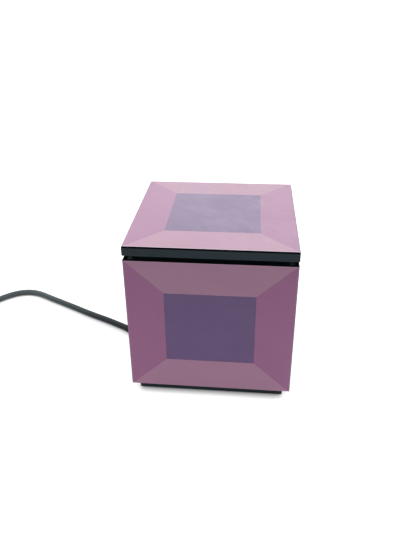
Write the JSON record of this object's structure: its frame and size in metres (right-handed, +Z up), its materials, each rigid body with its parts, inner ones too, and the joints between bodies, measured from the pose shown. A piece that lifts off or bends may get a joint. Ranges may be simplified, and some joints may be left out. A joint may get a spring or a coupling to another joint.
{
  "type": "lamp",
  "caption": "Cube table lamp: square laminate panels on a moulded shell with a recessed plinth, a hinged lid over a bulb and reflector, and a mains cord with plug",
  "frame": {"origin": "middle of the lamp body footprint, on the table; the cord and what is on it are left out of that footprint", "axes": "+Z up, -Y the front face, -X the side with the hinge and the cord"},
  "size_m": [0.3255, 0.1618, 0.105],
  "materials": {
    "panel_laminate": "semi-gloss pink laminate in a mitred two-tone pattern",
    "black_moulding": "satin black moulding",
    "black_rubber": "matt black rubber",
    "cord_sheath": "dark grey-green flex",
    "plug_plastic": "moulded dark plastic",
    "zinc_steel": "zinc-plated steel",
    "bright_aluminium": "bright rolled aluminium",
    "brass": "nickelled brass",
    "clear_glass": "clear glass",
    "tungsten": "tungsten wire",
    "pale_plastic": "off-white heat-resistant plastic",
    "nylon": "natural nylon",
    "spring_steel": "spring steel",
    "brown_insulation": "brown insulation",
    "blue_insulation": "blue insulation",
    "strap_fabric": "woven hook-and-loop strap"
  },
  "bodies": {
    "base": {"back_panel": "panel_laminate", "base_plate": "black_moulding", "base_screws": "zinc_steel", "body_shell": "black_moulding", "bracket_screws": "zinc_steel", "bulb_cap": "bright_aluminium", "bulb_filament": "tungsten", "bulb_glass": "clear_glass", "bulb_stem": "clear_glass", "bulb_tip": "brass", "clamp_screws": "zinc_steel", "coil_straps": "strap_fabric", "cord_clamp": "pale_plastic", "cord_coil": "cord_sheath", "cord_inside": "cord_sheath", "cord_lead": "cord_sheath", "cord_tail": "cord_sheath", "front_panel": "panel_laminate", "hinge_pins": "zinc_steel", "hinge_side_panel": "panel_laminate", "hinge_washers": "nylon", "lampholder_body": "pale_plastic", "lampholder_bracket": "zinc_steel", "lampholder_contact": "brass", "lampholder_screws": "zinc_steel", "lampholder_shell": "brass", "plug_body": "plug_plastic", "plug_pin_sleeves": "plug_plastic", "plug_pins": "brass", "reflector_tray": "bright_aluminium", "right_panel": "panel_laminate", "rubber_feet": "black_rubber", "strain_relief": "black_rubber", "switch_housing": "pale_plastic", "switch_screws": "zinc_steel", "switch_spring": "spring_steel", "switch_terminals": "brass", "terminal_block": "pale_plastic", "terminal_block_screw": "zinc_steel", "terminal_screws": "brass", "tray_screws": "zinc_steel", "wire_neutral": "blue_insulation", "wire_supply_live": "brown_insulation", "wire_supply_neutral": "blue_insulation", "wire_switch_feed": "brown_insulation", "wire_switched": "brown_insulation"},
    "lid": {"lid_panel": "panel_laminate", "lid_frame": "black_moulding", "lid_reflector": "bright_aluminium", "lid_rivets": "bright_aluminium", "hinge_arms": "zinc_steel", "hinge_arm_screws": "zinc_steel", "lid_bumpers": "black_rubber"},
    "plunger": {"switch_plunger": "pale_plastic"}
  },
  "joints": [
    {"name": "lid_hinge", "type": "hinge", "parent": "base", "child": "lid", "pos_m": [-0.0445, 0, 0.091], "axis": [0, -1, 0], "range_deg": [0, 105]},
    {"name": "plunger_slide", "type": "slide", "parent": "base", "child": "plunger", "axis": [0, 0, 1], "range_m": [0, 0.0025], "deforming": ["switch_spring"]}
  ],
  "couplings": [
    {"joint": "plunger_slide", "follows": "lid_hinge", "m_per_rad": 0.001364}
  ]
}
